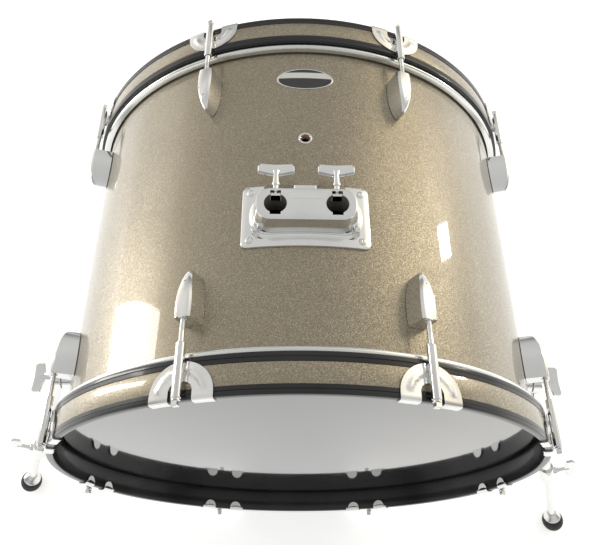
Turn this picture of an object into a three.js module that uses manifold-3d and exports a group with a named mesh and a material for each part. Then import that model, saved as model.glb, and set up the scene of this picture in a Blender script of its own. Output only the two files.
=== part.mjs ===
// A bass drum that lies on its side: a wrapped shell with two heads, two wooden hoops,
// sixteen lugs with tension rods and claws, a double tom bracket and two folding spurs.
// Millimetres, +Z up. The drum's own axis runs along Y and the front head faces -Y.
import * as THREE from 'three';
import { mergeVertices } from 'three/addons/utils/BufferGeometryUtils.js';
import Module from 'manifold-3d';

const wasm = await Module();
wasm.setup();

// Driving dimensions of the drum
const SEGMENTS = 64;
const FACET = Math.cos(Math.PI / SEGMENTS);
const GAP = 0.3;
const SHELL_RADIUS = 279.4;
const SHELL_WALL = 7.5;
const SHELL_HALF = 201.5;
const HOOP_RADIUS = 293.5;
const HOOP_WALL = 8;
const HOOP_DEPTH = 39;
const HOOP_OVERHANG = 28.8;
const HOOP_OUT = SHELL_HALF + HOOP_OVERHANG;
const HOOP_IN = HOOP_OUT - HOOP_DEPTH;
const AXIS_HEIGHT = HOOP_RADIUS * FACET;
const FRONT_REST = HOOP_OUT - HOOP_DEPTH / 2;
const STATIONS = [22.5, 67.5, 112.5, 157.5, -157.5, -112.5, -67.5, -22.5];
const VENT_RADIUS = 5;
const VENT_Y = 57;
const FILM = 1.1;
const FLESH_RADIUS = 289.5;
const FLESH_IN = 184.5;

// Tension hardware: rod, lug and claw
const ROD_AXIS = 300;
const ROD_RADIUS = 2.8;
const ROD_BORE = 3.1;
const ROD_TIP = 120;
const LUG_FLAT = 155;
const LUG_LENGTH = 53;
const LUG_HALF_WIDTHS = [10.4, 11.5, 11.7, 11, 9.2, 6.2, 2.6];
const LUG_RIDGE = [26.5, 26.5, 26.3, 25.6, 24, 21.2, 17];
const LUG_TOP_SCALE = 0.68;
const LUG_BORE_DEPTH = 38;
const CLAW_PLATE = 2.8;
const CLAW_HALF_WIDTH = 32.5;
const CLAW_WEB = 2;
const CLAW_HOOK = 11;
const CLAW_BACK = 195;
const CLAW_MOUTH_HALF = 11.5;
const CLAW_MOUTH_DEPTH = 18.5;
const SLEEVE_RADIUS = 4.8;
const SLEEVE_START = 179;

// Double tom bracket on the crown of the shell
const BRACKET_Y = -42.5;
const BRACKET_HALF_X = 66;
const BRACKET_HALF_Y = 36.3;
const BRACKET_PLATE = 3;
const BLOCK_HALF_X = 51;
const BLOCK_HALF_Y = 18.5;
const BLOCK_TOP = 303;
const BLOCK_LOW = 262;
const BLOCK_SPREAD = [12, 16];
const ARM_X = 31;
const ARM_RADIUS = 11.5;
const ARM_KEY_HALF = 5.5;
const TOM_SCREW_Z = 297.5;
const TOM_SCREW_SEAT = 5.5;
const TOM_SCREW_RADIUS = 3;

// Spurs: one on each side, each set at its own angle and length
const SPUR_Y = -114;
const SPUR_Z = -16;
const PIVOT_X = 312;
const HUB_RADIUS = 15;
const HUB_THICK = 12;
const TUBE_RADIUS = 8;
const TUBE_LENGTH = 200;
const LEG_RADIUS = 5;
const COLLAR_RADIUS = 11;
const COLLAR_LENGTH = 24;
const FOOT_RADIUS = 15.5;
const SPURS = [
  { side: -1, name: 'left', splay: 19.4, fold: 16.2 },
  { side: 1, name: 'right', splay: 16.2, fold: 26.3 },
];

// Finishes
const finish = (color, roughness, metalness) =>
  new THREE.MeshStandardMaterial({ color, roughness, metalness, side: THREE.FrontSide });
const WRAP = finish(0x8f8470, 0.35, 0.3);
const LACQUER = finish(0x17181a, 0.2, 0);
const CHROME = finish(0xd8dadb, 0.12, 1);
const BLACK_FILM = finish(0x0d0d0f, 0.08, 0);
const WHITE_FILM = finish(0xe9e7e0, 0.5, 0);
const RUBBER = finish(0x2e2f30, 0.75, 0);

const drum = new THREE.Group();
drum.position.set(0, FRONT_REST, AXIS_HEIGHT);

const radians = THREE.MathUtils.degToRad;

// A closed geometry as a solid; a geometry wound inside out is turned round first.
function solid(geometry) {
  const bare = geometry.clone();
  bare.deleteAttribute('normal');
  bare.deleteAttribute('uv');
  const merged = mergeVertices(bare, 1e-4);
  const p = merged.attributes.position.array;
  const tri = merged.index.array;
  const corners = [];
  let volume = 0;
  for (let i = 0; i < tri.length; i += 3) {
    const [a, b, c] = [tri[i], tri[i + 1], tri[i + 2]];
    if (a === b || b === c || a === c) continue;
    corners.push(a, b, c);
    const [ax, ay, az] = p.slice(3 * a, 3 * a + 3);
    const [bx, by, bz] = p.slice(3 * b, 3 * b + 3);
    const [cx, cy, cz] = p.slice(3 * c, 3 * c + 3);
    volume += ax * (by * cz - bz * cy) + ay * (bz * cx - bx * cz) + az * (bx * cy - by * cx);
  }
  if (volume < 0) corners.reverse();
  const mesh = new wasm.Mesh({
    numProp: 3,
    vertProperties: new Float32Array(p),
    triVerts: new Uint32Array(corners),
  });
  return new wasm.Manifold(mesh);
}

function geometryOf(body) {
  const mesh = body.getMesh();
  const geometry = new THREE.BufferGeometry();
  geometry.setAttribute('position', new THREE.BufferAttribute(mesh.vertProperties, 3));
  geometry.setIndex(new THREE.BufferAttribute(mesh.triVerts, 1));
  const flat = geometry.toNonIndexed();
  flat.computeVertexNormals();
  return flat;
}

function add(parent, name, body, material) {
  const mesh = new THREE.Mesh(geometryOf(body), material);
  mesh.name = name;
  parent.add(mesh);
  return mesh;
}

// A solid of revolution about the drum's axis; a flat of every ring lies at the bottom.
function turned(profile, segments = SEGMENTS) {
  const points = profile.map(([r, y]) => new THREE.Vector2(r, y));
  return solid(new THREE.LatheGeometry(points, segments, Math.PI / segments));
}

// A small round bar between two points.
function bar(from, to, radius, sides = 12, radiusEnd = radius) {
  const start = new THREE.Vector3(...from);
  const end = new THREE.Vector3(...to);
  const along = end.clone().sub(start);
  const rod = new THREE.CylinderGeometry(radiusEnd, radius, along.length(), sides);
  rod.translate(0, along.length() / 2, 0);
  const up = new THREE.Vector3(0, 1, 0);
  rod.applyQuaternion(new THREE.Quaternion().setFromUnitVectors(up, along.normalize()));
  rod.translate(start.x, start.y, start.z);
  return solid(rod);
}

function box(low, high) {
  const size = high.map((value, i) => value - low[i]);
  const block = new THREE.BoxGeometry(...size);
  block.translate(low[0] + size[0] / 2, low[1] + size[1] / 2, low[2] + size[2] / 2);
  return solid(block);
}

// A plan outline in X and Y raised from z = low to z = high, its top scaled about the centre.
function raised(outline, low, high, topScale = [1, 1], centre = [0, 0]) {
  const shape = new THREE.Shape(outline.map(([x, y]) => new THREE.Vector2(x, y)));
  const body = new THREE.ExtrudeGeometry(shape, { depth: high - low, bevelEnabled: false });
  const p = body.attributes.position;
  for (let i = 0; i < p.count; i += 1) {
    if (p.getZ(i) > 0) {
      p.setX(i, centre[0] + (p.getX(i) - centre[0]) * topScale[0]);
      p.setY(i, centre[1] + (p.getY(i) - centre[1]) * topScale[1]);
    }
  }
  body.translate(0, 0, low);
  return solid(body);
}

// A rectangle with rounded corners, as plan points.
function roundedRectangle(halfX, halfY, radius, cx = 0, cy = 0, steps = 3) {
  const points = [];
  for (let corner = 0; corner < 4; corner += 1) {
    const sx = corner === 0 || corner === 3 ? 1 : -1;
    const sy = corner < 2 ? 1 : -1;
    for (let i = 0; i <= steps; i += 1) {
      const angle = Math.PI / 2 * (corner + i / steps);
      const x = cx + sx * (halfX - radius) + radius * Math.cos(angle);
      const y = cy + sy * (halfY - radius) + radius * Math.sin(angle);
      points.push([x, y]);
    }
  }
  return points;
}

// Shell: a plywood tube whose edges are cut to a ridge, with a vent and two tom arm holes.
const shellInside = SHELL_RADIUS - SHELL_WALL;
const shellProfile = [
  [SHELL_RADIUS, -SHELL_HALF + 2],
  [SHELL_RADIUS - 2, -SHELL_HALF],
  [SHELL_RADIUS - 3.5, -SHELL_HALF],
  [shellInside, -SHELL_HALF + 4],
  [shellInside, SHELL_HALF - 4],
  [SHELL_RADIUS - 3.5, SHELL_HALF],
  [SHELL_RADIUS - 2, SHELL_HALF],
  [SHELL_RADIUS, SHELL_HALF - 2],
  [SHELL_RADIUS, -SHELL_HALF + 2],
];
let shell = turned(shellProfile);
shell = shell.subtract(bar([0, VENT_Y, 250], [0, VENT_Y, 300], VENT_RADIUS, 16));
for (const x of [-ARM_X, ARM_X]) {
  shell = shell.subtract(bar([x, BRACKET_Y, 250], [x, BRACKET_Y, 300], ARM_RADIUS + 2, 20));
}
add(drum, 'shell', shell, WRAP);

// Each head is one film with its collar and flesh hoop; side is -1 at the front.
function headProfile(side) {
  const film = SHELL_HALF + GAP;
  const collar = SHELL_RADIUS + 1;
  const points = [
    [0, film + FILM],
    [collar + 1.2, film + FILM],
    [collar + 3.6, HOOP_IN - GAP],
    [FLESH_RADIUS, HOOP_IN - GAP],
    [FLESH_RADIUS, FLESH_IN],
    [collar + 1, FLESH_IN],
    [collar + 1, HOOP_IN - 0.5],
    [collar, film],
    [0, film],
  ];
  return points.map(([r, y]) => [r, side * y]);
}
add(drum, 'front_head', turned(headProfile(-1)), BLACK_FILM);
add(drum, 'batter_head', turned(headProfile(1)), WHITE_FILM);

function hoopProfile(side) {
  const inside = HOOP_RADIUS - HOOP_WALL;
  const points = [
    [HOOP_RADIUS, HOOP_IN],
    [HOOP_RADIUS, HOOP_OUT],
    [inside, HOOP_OUT],
    [inside, HOOP_IN],
    [HOOP_RADIUS, HOOP_IN],
  ];
  return points.map(([r, y]) => [r, side * y]);
}

// A claw at the crown of the front hoop: a D-shaped plate with a mouth, a sleeve for the rod
// and two hooks that turn round the hoop's edge.
function clawBody(clearance) {
  const outside = HOOP_RADIUS + clearance;
  const inside = HOOP_RADIUS - HOOP_WALL - clearance;
  const edge = -(HOOP_OUT + clearance);
  const front = edge - CLAW_WEB;
  const wrap = turned([
    [outside, edge],
    [outside, -CLAW_BACK],
    [outside + CLAW_PLATE, -CLAW_BACK],
    [outside + CLAW_PLATE, front],
    [inside - CLAW_WEB, front],
    [inside - CLAW_WEB, edge + CLAW_HOOK],
    [inside, edge + CLAW_HOOK],
    [inside, edge],
    [outside, edge],
  ]);
  const outline = [];
  const depth = -CLAW_BACK - front;
  for (let i = 0; i <= 8; i += 1) {
    const angle = Math.PI * i / 8;
    const x = CLAW_HALF_WIDTH * Math.cos(angle);
    outline.push([x, front + 8 + (depth - 8) * Math.sin(angle)]);
  }
  outline.push([-CLAW_HALF_WIDTH, front]);
  outline.push([-CLAW_MOUTH_HALF, front]);
  outline.push([-CLAW_MOUTH_HALF, front + CLAW_MOUTH_DEPTH - 5]);
  outline.push([-CLAW_MOUTH_HALF + 5, front + CLAW_MOUTH_DEPTH]);
  outline.push([CLAW_MOUTH_HALF - 5, front + CLAW_MOUTH_DEPTH]);
  outline.push([CLAW_MOUTH_HALF, front + CLAW_MOUTH_DEPTH - 5]);
  outline.push([CLAW_MOUTH_HALF, front]);
  outline.push([CLAW_HALF_WIDTH, front]);
  const plate = wrap.intersect(raised(outline, 250, 320));
  const sleeve = bar([0, -SLEEVE_START, ROD_AXIS], [0, -HOOP_OUT, ROD_AXIS], SLEEVE_RADIUS);
  const bore = bar([0, -SLEEVE_START + 5, ROD_AXIS], [0, -HOOP_OUT - 20, ROD_AXIS], ROD_BORE);
  return plate.add(sleeve).subtract(bore);
}

// A tension rod at the crown: threaded shank, collar and square key head.
function rodBody() {
  const seat = -(HOOP_OUT + GAP);
  const shank = bar([0, -ROD_TIP, ROD_AXIS], [0, seat, ROD_AXIS], ROD_RADIUS, 8);
  const collar = bar([0, seat, ROD_AXIS], [0, seat - 2, ROD_AXIS], 4.3, 8);
  const head = box([-2.9, seat - 7, ROD_AXIS - 2.9], [2.9, seat - 1.5, ROD_AXIS + 2.9]);
  return shank.add(collar).add(head);
}

// A lug at the crown: a boat shape with a flat end towards the hoop and a blunt bow inwards.
function lugBody() {
  const base = SHELL_RADIUS * FACET + GAP;
  const steps = LUG_HALF_WIDTHS.length - 1;
  const along = (i) => LUG_LENGTH * i / steps - LUG_FLAT;
  const outline = LUG_HALF_WIDTHS.map((width, i) => [width, along(i)]);
  for (let i = steps; i >= 0; i -= 1) {
    outline.push([-LUG_HALF_WIDTHS[i], along(i)]);
  }
  const drop = raised(outline, base, base + LUG_RIDGE[0], [LUG_TOP_SCALE, 1]);
  const ridge = LUG_RIDGE.map((height, i) => [along(i), height]);
  ridge.push([LUG_LENGTH - LUG_FLAT, -1]);
  ridge.push([-LUG_FLAT, -1]);
  const side = new THREE.Shape(ridge.map(([y, z]) => new THREE.Vector2(y, z)));
  const curb = new THREE.ExtrudeGeometry(side, { depth: 60, bevelEnabled: false });
  curb.translate(0, 0, -30);
  curb.rotateX(Math.PI / 2);
  curb.rotateZ(Math.PI / 2);
  curb.translate(0, 0, base);
  const deep = -LUG_FLAT + LUG_BORE_DEPTH;
  const bore = bar([0, -LUG_FLAT - 5, ROD_AXIS], [0, deep, ROD_AXIS], ROD_BORE, 8);
  return drop.intersect(solid(curb)).subtract(bore);
}

// Puts a piece made at the crown of the front rim at a station of either rim.
function station(angle, side) {
  const turn = new THREE.Group();
  turn.rotation.y = radians(angle);
  const flip = new THREE.Group();
  flip.rotation.z = side < 0 ? 0 : Math.PI;
  turn.add(flip);
  drum.add(turn);
  return flip;
}

const lug = lugBody();
const rod = rodBody();
const claw = clawBody(GAP);
STATIONS.forEach((angle, i) => {
  const front = station(angle, -1);
  const batter = station(angle, 1);
  add(front, `front_lug_${i + 1}`, lug, CHROME);
  add(batter, `batter_lug_${i + 1}`, lug, CHROME);
  add(front, `front_tension_rod_${i + 1}`, rod, CHROME);
  add(batter, `batter_tension_rod_${i + 1}`, rod, CHROME);
  add(front, `front_claw_${i + 1}`, claw, CHROME);
});
add(drum, 'front_hoop', turned(hoopProfile(-1)), LACQUER);

// The batter hoop carries its eight claws in one piece, tight on the wood.
let batterHoop = turned(hoopProfile(1));
const tightClaw = clawBody(0).rotate([0, 0, 180]);
for (const angle of STATIONS) {
  batterHoop = batterHoop.add(tightClaw.rotate([0, angle, 0]));
}
add(drum, 'batter_hoop', batterHoop, LACQUER);

// Double tom bracket: a curved plate and a raised block with two keyed sockets.
const plateRing = turned([
  [SHELL_RADIUS + GAP, -120],
  [SHELL_RADIUS + GAP + BRACKET_PLATE, -120],
  [SHELL_RADIUS + GAP + BRACKET_PLATE, 20],
  [SHELL_RADIUS + GAP, 20],
  [SHELL_RADIUS + GAP, -120],
]);
const plateOutline = roundedRectangle(BRACKET_HALF_X, BRACKET_HALF_Y, 5, 0, BRACKET_Y);
const footX = BLOCK_HALF_X + BLOCK_SPREAD[0];
const footY = BLOCK_HALF_Y + BLOCK_SPREAD[1];
const blockOutline = roundedRectangle(footX, footY, 26, 0, BRACKET_Y);
const blockTaper = [BLOCK_HALF_X / footX, BLOCK_HALF_Y / footY];
const core = turned([[0, -160], [SHELL_RADIUS + GAP, -160], [SHELL_RADIUS + GAP, 20], [0, 20]]);
let bracket = raised(blockOutline, BLOCK_LOW, BLOCK_TOP, blockTaper, [0, BRACKET_Y]);
bracket = bracket.subtract(core).intersect(raised(plateOutline, 250, 320));
bracket = bracket.add(plateRing.intersect(raised(plateOutline, 250, 300)));
for (const x of [-ARM_X, ARM_X]) {
  const key = ARM_KEY_HALF;
  const back = BRACKET_Y + BLOCK_HALF_Y;
  bracket = bracket.subtract(bar([x, BRACKET_Y, 250], [x, BRACKET_Y, 330], ARM_RADIUS, 20));
  const keyway = box([x - key, BRACKET_Y - 13, 250], [x + key, BRACKET_Y, 330]);
  const shoeSlot = box([x - key, BRACKET_Y, TOM_SCREW_Z - 6], [x + key, back - 4, 330]);
  bracket = bracket.subtract(keyway).subtract(shoeSlot);
  const thread = bar([x, BRACKET_Y, TOM_SCREW_Z], [x, 5, TOM_SCREW_Z], TOM_SCREW_RADIUS + GAP);
  bracket = bracket.subtract(thread);
}
add(drum, 'tom_bracket', bracket, CHROME);

// A wing screw along +Y from the origin: shank, shoulder, neck and a flat blade.
function wingScrew({ shank, shankRadius, neck, neckRadius, blade, halfSpan, thick }) {
  const stem = bar([0, -shank, 0], [0, 1, 0], shankRadius);
  const shoulder = bar([0, 0, 0], [0, neck, 0], neckRadius);
  const outline = [
    [-halfSpan, neck + blade * 0.25],
    [-neckRadius, neck - 1],
    [neckRadius, neck - 1],
    [halfSpan, neck + blade * 0.25],
    [halfSpan, neck + blade * 0.85],
    [neckRadius, neck + blade],
    [-neckRadius, neck + blade],
    [-halfSpan, neck + blade * 0.85],
  ];
  return stem.add(shoulder).add(raised(outline, -thick / 2, thick / 2));
}

const tomScrew = wingScrew({
  shank: 12.5,
  shankRadius: TOM_SCREW_RADIUS,
  neck: 13,
  neckRadius: 4.3,
  blade: 13.5,
  halfSpan: 19,
  thick: 5,
});
[-ARM_X, ARM_X].forEach((x, i) => {
  const place = new THREE.Group();
  place.position.set(x, BRACKET_Y + BLOCK_HALF_Y + TOM_SCREW_SEAT, TOM_SCREW_Z);
  drum.add(place);
  add(place, `tom_wing_screw_${i === 0 ? 'left' : 'right'}`, tomScrew, CHROME);
});

// Spur bracket on the flank of the shell at +X: a foot plate and a round boss.
function spurBracket() {
  const outline = roundedRectangle(19, 24, 6, 0, 0);
  const plate = raised(outline, 270, 285);
  const boss = bar([0, 0, 270], [0, 0, PIVOT_X - HUB_THICK / 2 - GAP], HUB_RADIUS, 20);
  const thread = bar([0, 0, 290], [0, 0, 330], 3.3);
  const upright = plate.add(boss).subtract(thread);
  return upright.rotate([0, 90, 0]).translate([0, SPUR_Y, SPUR_Z]).subtract(core);
}
const spurBase = spurBracket();

for (const { side, name, splay, fold } of SPURS) {
  add(drum, `spur_bracket_${name}`, side > 0 ? spurBase : spurBase.mirror([1, 0, 0]), CHROME);

  const direction = new THREE.Vector3(
    side * Math.sin(radians(splay)),
    -Math.cos(radians(splay)) * Math.sin(radians(fold)),
    -Math.cos(radians(splay)) * Math.cos(radians(fold)),
  );
  const pivot = new THREE.Vector3(side * PIVOT_X, SPUR_Y, SPUR_Z);
  const reach = (AXIS_HEIGHT + SPUR_Z - FOOT_RADIUS) / -direction.z;
  const at = (distance) => pivot.clone().addScaledVector(direction, distance).toArray();
  const outward = new THREE.Vector3(side, 0, 0);
  outward.addScaledVector(direction, -outward.dot(direction)).normalize();
  const off = (distance, away) =>
    new THREE.Vector3(...at(distance)).addScaledVector(outward, away).toArray();

  // Leg tube: hub, tube and clamp collar in one, open at its lower end.
  const boltAt = TUBE_LENGTH - COLLAR_LENGTH / 2;
  const half = HUB_THICK / 2;
  let tube = bar([-half, 0, 0], [half, 0, 0], HUB_RADIUS, 20).translate(pivot.toArray());
  tube = tube.add(bar(at(12), at(TUBE_LENGTH), TUBE_RADIUS, 16));
  tube = tube.add(bar(at(TUBE_LENGTH - COLLAR_LENGTH), at(TUBE_LENGTH), COLLAR_RADIUS, 16));
  tube = tube.add(bar(at(boltAt), off(boltAt, COLLAR_RADIUS + 4), 6, 12));
  tube = tube.subtract(bar(at(26), at(TUBE_LENGTH + 5), LEG_RADIUS + GAP, 16));
  tube = tube.subtract(bar(off(boltAt, 2), off(boltAt, 30), 2.8, 12));
  tube = tube.subtract(bar([-20, 0, 0], [20, 0, 0], 3.3).translate(pivot.toArray()));
  add(drum, `spur_tube_${name}`, tube, CHROME);

  // Inner leg: a plain rod that slides in the tube and ends in a cup for the rubber.
  const cup = reach - 19;
  let leg = bar(at(TUBE_LENGTH - 125), at(reach + 2), LEG_RADIUS, 16);
  leg = leg.add(bar(at(cup), at(cup + 9), LEG_RADIUS + 1, 16, FOOT_RADIUS - 3));
  add(drum, `spur_leg_${name}`, leg, CHROME);

  // Rubber foot: a ball on the end of the leg, cut off level below the cup.
  const ball = solid(new THREE.SphereGeometry(FOOT_RADIUS, 16, 10));
  const cutter = bar(at(cup - 20), at(cup + 9 + GAP), 40, 16);
  const socket = bar(at(cup), at(reach + 2 + GAP), LEG_RADIUS + GAP, 16);
  const foot = ball.translate(at(reach)).subtract(cutter).subtract(socket);
  add(drum, `spur_foot_${name}`, foot, RUBBER);

  // Wing bolts: one locks the fold at the pivot, one grips the inner leg in its collar.
  const foldBolt = wingScrew({
    shank: 22,
    shankRadius: 3,
    neck: 12,
    neckRadius: 5,
    blade: 15,
    halfSpan: 19.5,
    thick: 5,
  });
  const foldPlace = new THREE.Group();
  foldPlace.position.set(side * (PIVOT_X + HUB_THICK / 2 + GAP), SPUR_Y, SPUR_Z);
  foldPlace.rotation.z = side > 0 ? -Math.PI / 2 : Math.PI / 2;
  drum.add(foldPlace);
  add(foldPlace, `spur_fold_bolt_${name}`, foldBolt, CHROME);

  const legBolt = wingScrew({
    shank: 9,
    shankRadius: 2.5,
    neck: 11,
    neckRadius: 4,
    blade: 16,
    halfSpan: 15,
    thick: 4.5,
  });
  const legPlace = new THREE.Group();
  legPlace.position.set(...off(boltAt, COLLAR_RADIUS + 4 + GAP));
  const turn = new THREE.Matrix4().makeBasis(
    direction.clone().multiplyScalar(-1),
    outward,
    new THREE.Vector3().crossVectors(direction.clone().multiplyScalar(-1), outward),
  );
  legPlace.quaternion.setFromRotationMatrix(turn);
  drum.add(legPlace);
  add(legPlace, `spur_leg_bolt_${name}`, legBolt, CHROME);
}

export default drum;
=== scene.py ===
import math

import bmesh
import bpy
from mathutils import Matrix, Vector


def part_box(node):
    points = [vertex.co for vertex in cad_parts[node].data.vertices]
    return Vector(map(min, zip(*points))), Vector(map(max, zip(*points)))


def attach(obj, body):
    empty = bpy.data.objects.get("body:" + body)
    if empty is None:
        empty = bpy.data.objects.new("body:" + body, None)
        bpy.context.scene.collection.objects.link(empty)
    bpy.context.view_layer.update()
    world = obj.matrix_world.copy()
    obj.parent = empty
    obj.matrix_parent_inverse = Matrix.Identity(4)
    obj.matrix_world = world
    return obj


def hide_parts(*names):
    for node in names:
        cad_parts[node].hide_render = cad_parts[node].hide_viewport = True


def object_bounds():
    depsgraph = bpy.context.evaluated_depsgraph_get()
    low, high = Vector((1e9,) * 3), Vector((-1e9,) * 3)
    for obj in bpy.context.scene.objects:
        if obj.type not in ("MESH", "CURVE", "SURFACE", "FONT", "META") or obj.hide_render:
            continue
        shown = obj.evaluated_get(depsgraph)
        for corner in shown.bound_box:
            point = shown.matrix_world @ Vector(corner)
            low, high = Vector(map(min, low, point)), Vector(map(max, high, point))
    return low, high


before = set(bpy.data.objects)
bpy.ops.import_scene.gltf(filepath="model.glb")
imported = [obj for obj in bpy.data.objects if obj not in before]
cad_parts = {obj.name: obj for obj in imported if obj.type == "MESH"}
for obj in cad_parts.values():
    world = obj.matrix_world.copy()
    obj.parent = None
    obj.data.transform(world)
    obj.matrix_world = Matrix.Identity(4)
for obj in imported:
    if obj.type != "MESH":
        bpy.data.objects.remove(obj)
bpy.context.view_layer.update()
MM = 0.001

# ---------------------------------------------------------------------------------------------
# Shell. A plywood tube covered with a sheet of champagne glitter film under a clear gloss layer.
# The film is glued round the tube; the edges are cut to a ridge that carries the heads.
# The vent hole and the two tom arm holes are drilled through film and wood.

shell_low, shell_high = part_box("shell")
AXIS = (shell_low + shell_high) / 2
SHELL_RADIUS = (shell_high.z - shell_low.z) / 2
SHELL_HALF = (shell_high.y - shell_low.y) / 2
SHELL_WALL = 7.5 * MM
VENT_Y = 57 * MM
VENT_RADIUS = 5 * MM
SOCKET_X = 31 * MM
SOCKET_Y = -42.5 * MM
SOCKET_RADIUS = 11.5 * MM


class Socket:
    """A value in a node tree: arithmetic on it adds Math nodes."""

    def __init__(self, nodes, link):
        self.nodes, self.link = nodes, link

    def math(self, operation, *terms):
        return self.nodes.node("ShaderNodeMath", {"operation": operation}, dict(enumerate(terms)))

    def __add__(self, other):
        return self.math("ADD", self, other)

    def __sub__(self, other):
        return self.math("SUBTRACT", self, other)

    def __rsub__(self, other):
        return self.math("SUBTRACT", other, self)

    def __mul__(self, other):
        return self.math("MULTIPLY", self, other)

    def __truediv__(self, other):
        return self.math("DIVIDE", self, other)

    def __pow__(self, other):
        return self.math("POWER", self, other)

    __radd__ = __add__
    __rmul__ = __mul__


class Nodes:
    """A node tree that is written as calls: type, settings, then sockets by name or number."""

    def __init__(self, tree):
        self.tree = tree

    def node(self, kind, settings=None, sockets=None, out=0):
        made = self.tree.nodes.new(kind)
        for key, value in (settings or {}).items():
            if key == "stops":
                ramp = made.color_ramp.elements
                while len(ramp) < len(value):
                    ramp.new(0.5)
                for stop, (place, colour) in zip(ramp, value):
                    stop.position, stop.color = place, (*colour, 1)
            else:
                setattr(made, key, value)
        for key, value in (sockets or {}).items():
            self.feed(made.inputs[key], value)
        return Socket(self, made.outputs[out]) if made.outputs else None

    def feed(self, socket, value):
        if isinstance(value, Socket):
            self.tree.links.new(value.link, socket)
        else:
            socket.default_value = value


class Finish(Nodes):
    """A material with one Principled shader; its fixed values are set on the shader itself."""

    def __init__(self, name, **fixed):
        self.material = bpy.data.materials.new(name)
        self.material.use_nodes = True
        super().__init__(self.material.node_tree)
        self.shader = self.tree.nodes["Principled BSDF"]
        for key, value in fixed.items():
            self.shader.inputs[key.replace("_", " ")].default_value = value
        place = self.node("ShaderNodeTexCoord", out="Object")
        centre = {"Location": tuple(-AXIS)}
        self.place = self.node("ShaderNodeMapping", None, {"Vector": place, **centre})

    def noise(self, scale, detail=2.0, vector=None, out=0):
        spread = {"Vector": vector or self.place, "Scale": scale, "Detail": detail}
        return self.node("ShaderNodeTexNoise", None, spread, out)

    def ramp(self, value, *stops):
        return self.node("ShaderNodeValToRGB", {"stops": stops}, {0: value})

    def mix(self, factor, a, b, way="MIX"):
        kind = {"data_type": "RGBA", "blend_type": way}
        return self.node("ShaderNodeMix", kind, {0: factor, 6: a, 7: b}, out=2)

    def bump(self, height, distance, strength=1.0):
        lift = {"Height": height, "Distance": distance, "Strength": strength}
        return self.node("ShaderNodeBump", None, lift, "Normal")

    def shade(self, **linked):
        for key, value in linked.items():
            self.feed(self.shader.inputs[key.replace("_", " ")], value)
        return self.material


def glitter_film(name, flake=0.5 * MM):
    """Champagne film full of small flakes, each with its own tint and tilt, under clear gloss."""
    film = Finish(name, Coat_Roughness=0.04, Coat_IOR=1.5, IOR=1.45)
    cells = {"Vector": film.place, "Scale": 1 / flake}
    tint = film.node("ShaderNodeTexVoronoi", None, cells, "Color")
    one = film.node("ShaderNodeSeparateColor", None, {0: tint}, 0)
    dark, plain = (0.163, 0.132, 0.088), (0.308, 0.264, 0.188)
    pale, bright = (0.380, 0.328, 0.238), (0.71, 0.62, 0.45)
    colour = film.ramp(one, (0.0, dark), (0.30, plain), (0.80, pale), (1.0, bright))
    cloud = film.noise(9.0, 3.0)
    shade = film.ramp(cloud, (0.3, (0.93, 0.92, 0.90)), (0.7, (1.04, 1.04, 1.03)))
    colour = film.mix(1.0, colour, shade, "MULTIPLY")
    half = film.node("ShaderNodeVectorMath", {"operation": "SUBTRACT"}, {0: tint, 1: (0.5,) * 3})
    lean = film.node("ShaderNodeVectorMath", {"operation": "SCALE"}, {0: half, "Scale": 0.22})
    face = film.node("ShaderNodeNewGeometry", out="Normal")
    tilted = film.node("ShaderNodeVectorMath", {"operation": "ADD"}, {0: face, 1: lean})
    tilted = film.node("ShaderNodeVectorMath", {"operation": "NORMALIZE"}, {0: tilted})
    gloss = film.noise(40.0, 3.0) * 0.10 + 0.30
    film.shader.inputs["Coat Weight"].default_value = 1.0
    return film.shade(Base_Color=colour, Roughness=gloss, Metallic=one * 0.5 + 0.35, Normal=tilted)


def birch_ply(name):
    """Birch plies: grain that runs round the tube and thin dark glue lines in the edge."""
    ply = Finish(name)
    parts = [ply.node("ShaderNodeSeparateXYZ", None, {0: ply.place}, i) for i in range(3)]
    radius = (parts[0] * parts[0] + parts[2] * parts[2]) ** 0.5
    around = radius * (2 * math.pi / (1.25 * MM))
    glue = around.math("SINE", around)
    wide = {"Vector": ply.place, "Scale": (6.0, 190.0, 6.0)}
    grain = ply.noise(3.0, 4.0, ply.node("ShaderNodeMapping", None, wide))
    wood = ply.ramp(grain, (0.3, (0.56, 0.40, 0.24)), (0.7, (0.74, 0.58, 0.39)))
    line = ply.ramp(glue, (0.0, (0.62, 0.55, 0.47)), (0.25, (1.0, 1.0, 1.0)))
    wood = ply.mix(0.7, wood, line, "MULTIPLY")
    return ply.shade(Base_Color=wood, Roughness=grain * 0.2 + 0.5, Normal=ply.bump(grain, 0.2 * MM))


def piece(name, verts, faces, *materials, smooth=35):
    """A mesh object whose points are measured from the drum's centre; normals are made outward."""
    mesh = bpy.data.meshes.new(name)
    mesh.from_pydata([AXIS + Vector(v) for v in verts], [], faces)
    form = bmesh.new()
    form.from_mesh(mesh)
    bmesh.ops.remove_doubles(form, verts=form.verts, dist=1e-6)
    bmesh.ops.dissolve_degenerate(form, edges=form.edges, dist=1e-7)
    bmesh.ops.recalc_face_normals(form, faces=form.faces)
    form.to_mesh(mesh)
    form.free()
    made = bpy.data.objects.new(name, mesh)
    bpy.context.scene.collection.objects.link(made)
    for material in materials:
        mesh.materials.append(material)
    soften(mesh, smooth)
    return made


def soften(mesh, angle):
    mesh.polygons.foreach_set("use_smooth", [True] * len(mesh.polygons))
    mesh.set_sharp_from_angle(angle=math.radians(angle))


def ring(profile, steps=192, closed=True):
    """Points and faces of a profile of (radius, y) turned round the drum's axis."""
    count = len(profile)
    verts, faces = [], []
    for i in range(steps):
        turn = 2 * math.pi * i / steps
        verts += [(r * math.sin(turn), y, r * math.cos(turn)) for r, y in profile]
    for i in range(steps):
        a, b = i * count, (i + 1) % steps * count
        for j in range(count if closed else count - 1):
            k = (j + 1) % count
            faces.append((a + j, a + k, b + k, b + j))
    return verts, faces


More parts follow.
